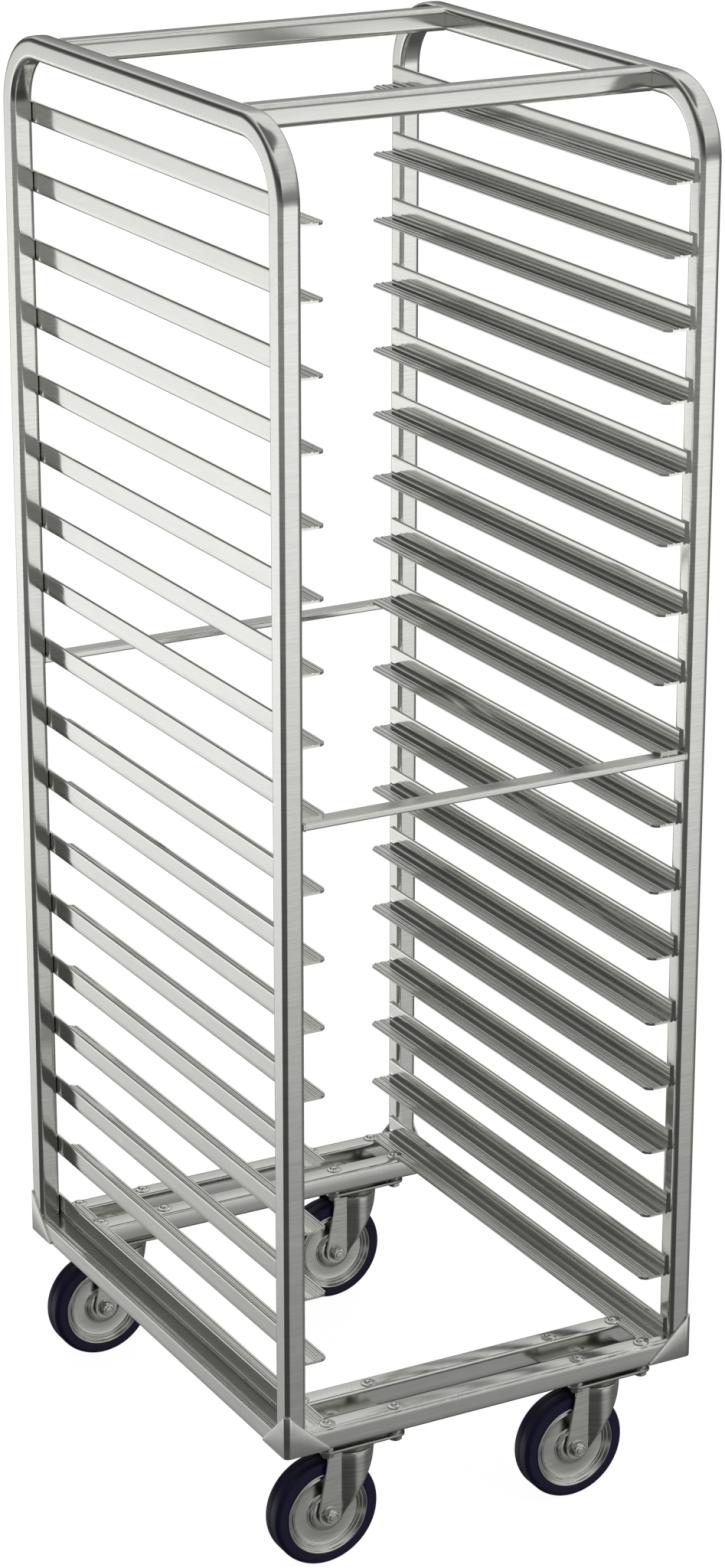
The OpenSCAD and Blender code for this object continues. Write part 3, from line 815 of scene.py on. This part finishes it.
# ---------------------------------------------------------------- caster fasteners
def bolt_axes():
    for sx in (-1, 1):
        for sy in (-1, 1):
            for u in (-1, 1):
                for v in (-1, 1):
                    yield sx * CX + u * BDX, sy * CY + v * BDY


def fasteners():
    b = Build()
    head = [(0, 4.1), (1.2, 4.05), (2.4, 3.85), (3.5, 3.45), (4.3, 2.9), (4.9, 2.2), (5.15, 1.75), (5.4, 1.5), (5.9, 1.42), (7.4, 1.35),
            (8.2, 1.2), (8.7, 0.85), (8.88, 0.4), (8.88, 0.0), (4.0, 0.0)]
    for i, (x, y) in enumerate(bolt_axes()):
        shank = [(4.0, -25), (4.0, -38.6), (3.4, -39.6), (3.0, -40.4), (0, -40.4)]
        lathe(b, [(r, h) for r, h in head] + shank, (x, y, FIRST_Z), "z", 40, False, [0] * 4 + [0.4, 0.8, 1] + [0.3] * 3 + [0.8, 1, 1, 0.4, 0] + [0] * 5)
    b.object("carriage_bolts", M["zinc"], "frame", "zinc", ["caster_bolts"], angle=45)
    b = Build()
    for i, (x, y) in enumerate(bolt_axes()):
        hexagon(b, 7.5, 5.2, (x, y, 146.0), "z", -1, 0.8, rad(17 + 29 * i))
        lathe(b, [(4.2, 0), (7.9, 0), (8.15, -0.3), (8.15, -0.7), (7.4, -1.2), (6.4, -1.5), (4.2, -1.5)], (x, y, 147.0), "z", 36)
    b.object("flange_nuts", M["zinc"], "frame", "zinc", ["caster_nuts"], angle=35)


# ---------------------------------------------------------------- casters
def rounded_rect(w, h, r, n=8):
    return arc(w / 2 - r, h / 2 - r, r, 0, 90, n) + arc(-w / 2 + r, h / 2 - r, r, 90, 180, n) + \
        arc(-w / 2 + r, -h / 2 + r, r, 180, 270, n) + arc(w / 2 - r, -h / 2 + r, r, 270, 360, n)


def top_plate(name, sx, sy):
    cx, cy = sx * CX, sy * CY
    b = Build()
    stations = []
    for z, inset in ((147.0, 0.55), (147.15, 0.2), (147.6, 0.0), (149.9, 0.0), (150.35, 0.2), (150.5, 0.55)):
        loop = rounded_rect(104 - 2 * inset, 80 - 2 * inset, 10 - inset)
        stations.append(((cx, cy, z), (1, 0, 0), (0, 1, 0), z, loop))
    sweep(b, None, stations)
    cup = [(21.5, 147.4), (21.5, 141.2), (26.6, 141.2), (27.1, 140.7), (27.2, 136.5), (27.6, 136.2), (28.6, 136.2), (29.1, 136.6), (29.2, 137.2),
           (29.2, 144.6), (29.5, 145.8), (30.2, 146.6), (31.6, 147.1), (31.6, 147.4)]
    lathe(b, cup, (cx, cy, 0), "z", 72)
    b.object("mount_plate_" + name, M["plate"], "frame", "caster_steel", ["top_plate_" + name], angle=35)


WING = [(-18.6, 59.0), (-17.8, 59.6), (-16.0, 64.0), (-13.3, 69.1), (-9.2, 75.2), (-4.5, 81.6), (1.9, 91.3), (6.3, 98.2),
        (10.6, 105.4), (14.4, 111.8), (17.8, 118.0), (20.4, 124.6), (22.6, 131.2)]


def wing_low(x):
    if x <= WING[0][0]:
        return WING[0][1]
    for (x0, z0), (x1, z1) in zip(WING, WING[1:]):
        if x <= x1:
            return z0 + (z1 - z0) * (x - x0) / (x1 - x0)
    return 131.2


def fork(name, sx, sy):
    cx, cy = sx * CX, sy * CY
    b = Build()
    R, T = 28.0, 2.8
    # crown rim and curved wings in one skin: each column runs up the outside, over the shoulder and back down inside
    cols = []
    steps = 84
    a_end = 133.6
    for i in range(steps + 1):
        a = a_end - 2 * a_end * i / steps
        x = R * math.cos(rad(a))
        lo = min(wing_low(x), 131.0)
        prof = []
        sh = 3.6
        zt = 135.0
        n_up = 8
        e = min(0.7, max(0.05, (131.4 - lo) * 0.3))
        prof += [(R - T + 0.55, lo), (R - 0.75, lo), (R - 0.2, lo + e * 0.35), (R, lo + e)]
        for k in range(1, n_up + 1):
            prof.append((R, lo + e + (zt - sh - lo - e) * k / n_up))
        prof += [(R - sh + sh * math.cos(rad(t)), zt - sh + sh * math.sin(rad(t))) for t in (15, 30, 45, 60, 75, 90)]
        prof += [(21.5, zt), (21.5, 131.6), (R - T - 1.4, 131.4), (R - T - 0.3, 130.9 if lo < 130.5 else 131.35), (R - T, min(129.6, lo + 0.9) if lo > 128.7 else 129.6)]
        for k in range(1, 5):
            z1 = min(129.6, lo + 0.9) if lo > 128.7 else 129.6
            prof.append((R - T, z1 + (lo + 0.4 - z1) * k / 4))
        cols.append([(cx + r * math.cos(rad(a)), cy + r * math.sin(rad(a)), z) for r, z in prof])
    n = len(cols[0])
    verts = [p for c in cols for p in c]
    faces = []
    for k in range(steps):
        for i in range(n):
            j = (i + 1) % n
            faces.append((k * n + i, k * n + j, (k + 1) * n + j, (k + 1) * n + i))
    faces += [tuple(range(n)), tuple(steps * n + i for i in range(n))[::-1]]
    b.add(verts, faces)
    b_obj = b.object("fork_shell_" + name, M["fork"], "swivel_" + name, "caster_steel", ["fork_" + name], angle=40)
    # flat cheeks, crown block and swivel boss
    c = Build()
    zt = 135.0
    out = [(-18.3, zt - 1.0), (-18.9, zt), (-34.2, zt), (-35.2, zt - 1.1), (-35.2, 130.5), (-TRAIL - 13.2, WR + 3.4)] + \
        arc(-TRAIL + 0.7, WR, 14, 168, 360, 22) + [(-18.3, WR + 3)]
    for t in (-1, 1):
        prism(c, out, t * 17.5, t * 20.5, ("x", "z", "y"), (cx, cy, 0))
    prism(c, [(-34.0, -18.6), (-14, -18.6), (-14, 18.6), (-34.0, 18.6)], 131.3, 134.9, ("x", "y", "z"), (cx, cy, 0))
    c.object("fork_cheeks_" + name, M["fork"], "swivel_" + name, "caster_steel", angle=35, bevel=0.55, segs=3)
    d = Build()
    lathe(d, [(6.1, 131.3), (22.2, 131.3), (22.2, 134.6), (21.2, 134.9), (20.8, 135.4), (20.8, 139.4), (20.3, 140.0), (19.6, 140.2), (6.6, 140.2), (6.1, 139.7)], (cx, cy, 0), "z", 64)
    d.object("fork_boss_" + name, M["fork"], "swivel_" + name, "caster_steel", angle=35)


def axle(name, sx, sy):
    cx, cy = sx * CX - TRAIL, sy * CY
    b = Build()
    lathe(b, [(5, -20.3), (5, 27.8), (4.5, 28.7), (4.0, 29.2), (0, 29.4)], (cx, cy, WR), "y", 32, False, sign=-1)
    # head on the rear side
    hexagon(b, 8.6, 6.2, (cx, cy + 20.5, WR), "y", 1, 1.0, rad(11))
    b.object("axle_screw_" + name, M["zinc"], "swivel_" + name, "zinc", ["axle_bolt_" + name], angle=35)
    b = Build()
    lathe(b, [(5.0, -20.5), (9.7, -20.5), (10.0, -20.8), (10.0, -21.6), (9.7, -21.9), (5.0, -21.9)], (cx, cy, WR), "y", 48)
    hexagon(b, 8.8, 5.0, (cx, cy - 21.7, WR), "y", -1, 1.1, rad(38))
    lathe(b, [(5.0, -26.0), (6.9, -26.0), (6.9, -27.4), (6.5, -28.0), (5.6, -28.2), (5.0, -28.1)], (cx, cy, WR), "y", 40)
    for t in (-1, 1):
        lathe(b, [(5.0, 15.5), (8.3, 15.5), (8.5, 15.7), (8.5, 17.2), (8.3, 17.4), (5.0, 17.4)], (cx, cy, WR), "y", 40, sign=t)
    b.object("axle_locknut_" + name, M["zinc"], "swivel_" + name, "zinc", ["axle_nut_" + name], angle=35)


CORE = [(13, 15.2), (13.3, 15.2), (18.4, 15.2), (18.9, 15.0), (19.3, 14.5), (19.6, 13.4), (19.9, 12.6), (20.4, 12.3), (21.4, 12.2), (22.1, 11.8), (22.5, 11.2),
        (22.8, 10.6), (23.3, 10.35), (24.2, 10.3), (31, 10.25), (37.6, 10.3), (38.6, 10.4), (39.3, 10.8), (39.8, 11.7), (40.4, 11.9), (41.0, 11.7), (41.5, 11.2),
        (41.9, 10.95), (42.3, 11.25), (42.7, 12.0), (43.1, 12.8), (43.6, 13.1), (44.2, 13.05), (44.7, 12.9), (45.3, 13.4), (46.0, 14.5), (46.6, 15.4),
        (47.1, 15.85), (47.6, 16.0), (48.0, 15.9), (48.35, 15.5)]


def wheel(name, sx, sy):
    cx, cy = sx * CX - TRAIL, sy * CY
    b = Build()
    prof = CORE + [(r, -h) for r, h in reversed(CORE)]
    w = [1.0 if (r > 46.4 or 43 < r < 44.6 or 39.6 < r < 40.9 or 18.5 < r < 19.5) else 0.0 for r, h in CORE]
    lathe(b, prof, (cx, cy, WR), "y", 112, True, w + w[::-1])
    b.object("wheel_disc_" + name, M["wheel"], "wheel_" + name, "wheel_metal", ["wheel_core_" + name], angle=38)
    b = Build()
    for t in (-1, 1):
        prof = [(5.1, 6.2), (12.95, 6.2), (12.95, 14.8), (12.7, 15.1), (11.6, 15.1), (11.3, 14.6), (11.1, 14.4), (8.4, 14.4), (8.1, 14.6), (7.8, 15.1), (5.4, 15.1), (5.1, 14.8)]
        lathe(b, prof, (cx, cy, WR), "y", 56, True, sign=t)
    b.object("ball_races_" + name, M["pin"], "wheel_" + name, "bearing_steel", ["wheel_bearings_" + name], angle=35)
    b = Build()
    h, r = 15.0, 5.7
    prof = [(48.42, -h + 0.7), (48.9, -h + 0.1), (49.6, -h)] + [(52.0, -h), (55.5, -h)] + arc(WR - r, -h + r, r, 270, 360, 10) + \
        [(WR, -6.0), (WR, -0.55), (WR - 0.14, -0.2), (WR - 0.14, 0.2), (WR, 0.55), (WR, 6.0)] + arc(WR - r, h - r, r, 0, 90, 10) + \
        [(55.5, h), (52.0, h), (49.6, h), (48.9, h - 0.1), (48.42, h - 0.7)]
    # arc() gives (radius, height) here because the profile is (r, h)
    lathe(b, prof, (cx, cy, WR), "y", 120, True)
    b.object("tyre_" + name, M["tread"], "wheel_" + name, "tread", ["wheel_tread_" + name], angle=50)


side_frame(-1)
side_frame(1)
crossbars()
slides()
base()
gussets()
fasteners()
for cname, (sx_, sy_) in CORNERS.items():
    top_plate(cname, sx_, sy_)
    fork(cname, sx_, sy_)
    axle(cname, sx_, sy_)
    wheel(cname, sx_, sy_)

# CAD nodes that stay as they are get their finish here
for n, o in frame["nodes"].items():
    if o.hide_render:
        continue
    mat = M["pin"] if n.startswith(("kingpin", "swivel_balls")) else M["zinc"]
    for i in range(len(o.material_slots)):
        o.material_slots[i].material = mat
    if not o.material_slots:
        o.data.materials.append(mat)

# ---------------------------------------------------------------- floor, studio, camera
def floor():
    """A plain pale floor. Mirror-like rays pass it and meet the studio below."""
    me = bpy.data.meshes.new("floor")
    r = 40.0
    me.from_pydata([(-r, -r, -0.0005), (r, -r, -0.0005), (r, r, -0.0005), (-r, r, -0.0005)], [], [(0, 1, 2, 3)])
    ob = bpy.data.objects.new("floor", me)
    bpy.context.scene.collection.objects.link(ob)
    mat = bpy.data.materials.new("floor")
    mat.use_nodes = True
    nt = mat.node_tree
    nt.nodes.clear()
    out = nt.nodes.new("ShaderNodeOutputMaterial")
    pale = nt.nodes.new("ShaderNodeEmission")
    pale.inputs[0].default_value = (1, 1, 1, 1)
    pale.inputs[1].default_value = 1.2
    dif = nt.nodes.new("ShaderNodeBsdfDiffuse")
    dif.inputs[0].default_value = (0.86, 0.86, 0.85, 1)
    mix = nt.nodes.new("ShaderNodeMixShader")
    mix.inputs[0].default_value = 0.20
    nt.links.new(pale.outputs[0], mix.inputs[1])
    nt.links.new(dif.outputs[0], mix.inputs[2])
    nt.links.new(mix.outputs[0], out.inputs[0])
    me.materials.append(mat)
    ob.visible_glossy = False
    ob.visible_diffuse = False


def world():
    """The studio: a lit sweep in front and at the left rear, unlit to the right, behind and overhead."""
    w = bpy.data.worlds.new("studio")
    bpy.context.scene.world = w
    w.use_nodes = True
    nt = w.node_tree
    nt.nodes.clear()
    out = nt.nodes.new("ShaderNodeOutputWorld")
    bg = nt.nodes.new("ShaderNodeBackground")
    nt.links.new(bg.outputs[0], out.inputs[0])
    lp = nt.nodes.new("ShaderNodeLightPath")
    tc = nt.nodes.new("ShaderNodeTexCoord")
    sep = nt.nodes.new("ShaderNodeSeparateXYZ")
    nt.links.new(tc.outputs["Generated"], sep.inputs[0])
    x, y, z = sep.outputs
    el = math_node(nt, "MULTIPLY", math_node(nt, "ARCSINE", z), 180 / math.pi)
    rho = math_node(nt, "SQRT", math_node(nt, "ADD", math_node(nt, "MULTIPLY", x, x), math_node(nt, "MULTIPLY", y, y)))
    inv = math_node(nt, "DIVIDE", 1.0, math_node(nt, "MAXIMUM", rho, 0.001))
    ux, uy = math_node(nt, "MULTIPLY", x, inv), math_node(nt, "MULTIPLY", y, inv)

    def curve(points, lo, hi):
        n = nt.nodes.new("ShaderNodeFloatCurve")
        c = n.mapping.curves[0]
        pts = [((e_ - lo) / (hi - lo), v) for e_, v in points]
        c.points[0].location = pts[0]
        c.points[1].location = pts[-1]
        for p in pts[1:-1]:
            c.points.new(*p)
        n.mapping.update()
        nt.links.new(math_node(nt, "DIVIDE", math_node(nt, "SUBTRACT", el, lo), hi - lo, clamp=True), n.inputs["Value"])
        return n.outputs[0]

    def heading(deg, lo, hi):
        """1 towards a heading (degrees from +Y to +X), 0 away from it, between two cosines"""
        c = math_node(nt, "ADD", math_node(nt, "MULTIPLY", ux, math.sin(rad(deg))), math_node(nt, "MULTIPLY", uy, math.cos(rad(deg))))
        return ramp01(nt, c, lo, hi)

    def over(a, b, fac):
        return math_node(nt, "ADD", a, math_node(nt, "MULTIPLY", fac, math_node(nt, "SUBTRACT", b, a)))

    # below the horizon
    D = (-90.0, 0.0)
    front = curve([(-90, .10), (-60, .12), (-40, .17), (-30, .22), (-27, .26), (-25, .31), (-23.7, .39), (-21.3, .52), (-18.9, .69),
                   (-16.4, .79), (-13.8, .89), (-11.5, .92), (-9.5, .74), (-7, .42), (-4, .26), (0, .22)], *D)
    left = curve([(-90, .10), (-60, .12), (-40, .20), (-30, .33), (-27, .41), (-25, .51), (-23.9, .60), (-21.6, .74), (-19.2, .86),
                  (-17, .92), (-14.5, .90), (-12, .84), (-10, .70), (-7, .40), (-4, .20), (0, .09)], *D)
    right = curve([(-90, .08), (-45, .09), (-20, .14), (0, .12)], *D)
    shade = curve([(-90, .08), (-45, .06), (-25, .05), (-20, .08), (-17, .12), (-12, .25), (-8, .20), (0, .08)], *D)
    far = curve([(-90, .09), (-50, .07), (-20, .05), (0, .06)], *D)
    down = over(front, left, heading(-60, -0.5, 0.5))
    down = over(down, right, heading(80, 0.42, 0.74))
    down = over(down, shade, heading(-125, 0.34, 0.56))
    down = over(down, far, heading(28.75, 0.72, 0.90))
    # above it
    U = (-10.0, 90.0)
    v = curve([(-10, .30), (-4, .22), (0, .20), (4, .22), (10, .33), (17, .52), (24, .60), (31, .58), (44, .60), (52, .68), (60, .68), (63, .40), (66, .17), (90, .15)], *U)
    back = curve([(-10, .06), (-4, .06), (0, .06), (5, .08), (8, .17), (10, .31), (12, .34), (15, .36), (19, .40), (28, .58), (32, .68), (40, .70), (52, .68), (60, .68), (63, .40), (66, .17), (90, .15)], *U)
    dim = curve([(-10, .09), (0, .09), (10, .06), (20, .055), (27, .11), (35, .22), (50, .45), (60, .60), (63, .38), (66, .17), (90, .15)], *U)
    up_ = over(v, back, ramp01(nt, y, -0.2, 0.4))
    up_ = over(up_, dim, ramp01(nt, math_node(nt, "MULTIPLY", x, -1.0), -0.05, 0.25))
    e = over(down, up_, ramp01(nt, el, -3.0, 1.0))
    cam = lp.outputs["Is Camera Ray"]
    e = math_node(nt, "ADD", math_node(nt, "MULTIPLY", cam, 1.0), math_node(nt, "MULTIPLY", math_node(nt, "SUBTRACT", 1.0, cam), e))
    nt.links.new(e, bg.inputs["Strength"])
    bg.inputs["Color"].default_value = (1.0, 1.0, 1.0, 1.0)


floor()
world()

cam_d = bpy.data.cameras.new("cam")
cam = bpy.data.objects.new("cam", cam_d)
bpy.context.scene.collection.objects.link(cam)
F, PX, PY = 5494.15, 484.03, 1013.13
yaw, pitch, roll = rad(28.755), rad(-19.399), rad(0.087)
fwd = Vector((math.sin(yaw) * math.cos(pitch), math.cos(yaw) * math.cos(pitch), math.sin(pitch)))
right = Vector((math.cos(yaw), -math.sin(yaw), 0))
up = right.cross(fwd)
r2 = right * math.cos(roll) + up * math.sin(roll)
u2 = up * math.cos(roll) - right * math.sin(roll)
m = Matrix.Identity(4)
for i in range(3):
    m[i][0], m[i][1], m[i][2] = r2[i], u2[i], -fwd[i]
m[0][3], m[1][3], m[2][3] = -2.09178, -3.85844, 2.33110
cam.matrix_world = m
cam_d.sensor_fit = "AUTO"
cam_d.sensor_width = 36.0
cam_d.lens = F * 36.0 / 2048
cam_d.shift_x = (473.5 - PX) / 2048
cam_d.shift_y = (PY - 1024.0) / 2048
cam_d.clip_start, cam_d.clip_end = 0.05, 200
cam_d.dof.use_dof = False
bpy.context.scene.camera = cam
bpy.context.scene.view_settings.view_transform = "Standard"
